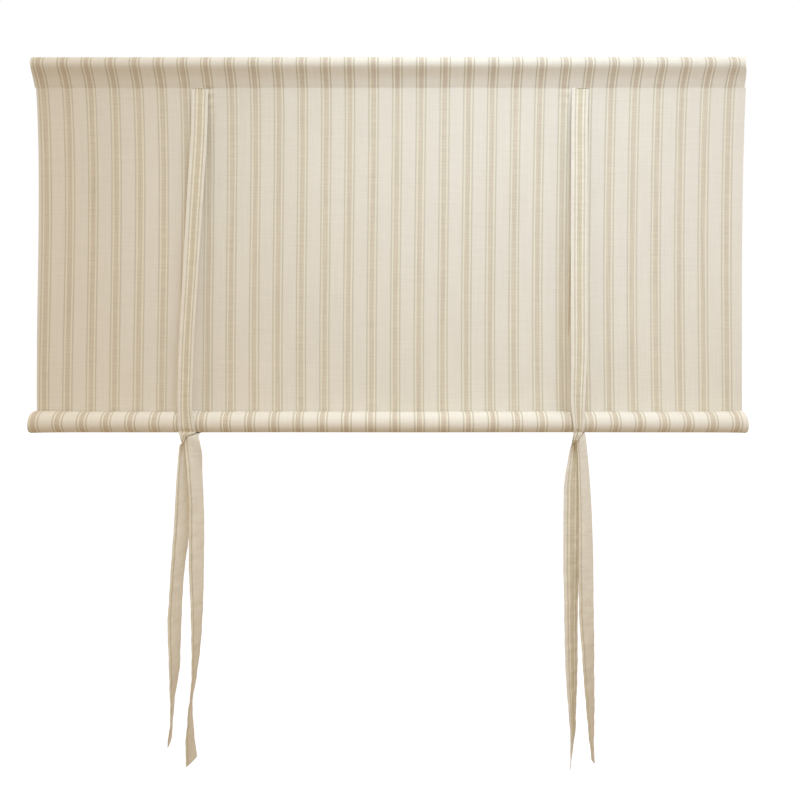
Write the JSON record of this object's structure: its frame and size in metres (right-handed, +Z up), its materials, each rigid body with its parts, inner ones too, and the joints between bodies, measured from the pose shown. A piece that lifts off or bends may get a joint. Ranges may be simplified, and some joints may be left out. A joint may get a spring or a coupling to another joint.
{
  "type": "tie-up roll blind",
  "caption": "Striped cotton window blind hung from a rod in its top casing, its lower part rolled up on a dowel and held by knotted cloth ties with long tails.",
  "frame": {"origin": "on the top rod's axis, at the middle of the blind's width", "axes": "+X along the rod to the right as seen from the front, +Y to the back of the blind, +Z up"},
  "size_m": [1, 0.0391, 0.9862],
  "materials": {
    "striped_cotton": "cream cotton with woven tan and brown ticking stripes along its length",
    "tie_cotton": "the same striped cotton, folded and sewn flat",
    "white_lacquered_tube": "satin white lacquer on steel tube",
    "beech_dowel": "bare sanded beech"
  },
  "bodies": {
    "root": {"blind_cloth": "striped_cotton", "top_rod": "white_lacquered_tube", "bottom_dowel": "beech_dowel", "left_front_tie": "tie_cotton", "left_back_tie": "tie_cotton", "right_front_tie": "tie_cotton", "right_back_tie": "tie_cotton"}
  },
  "joints": []
}
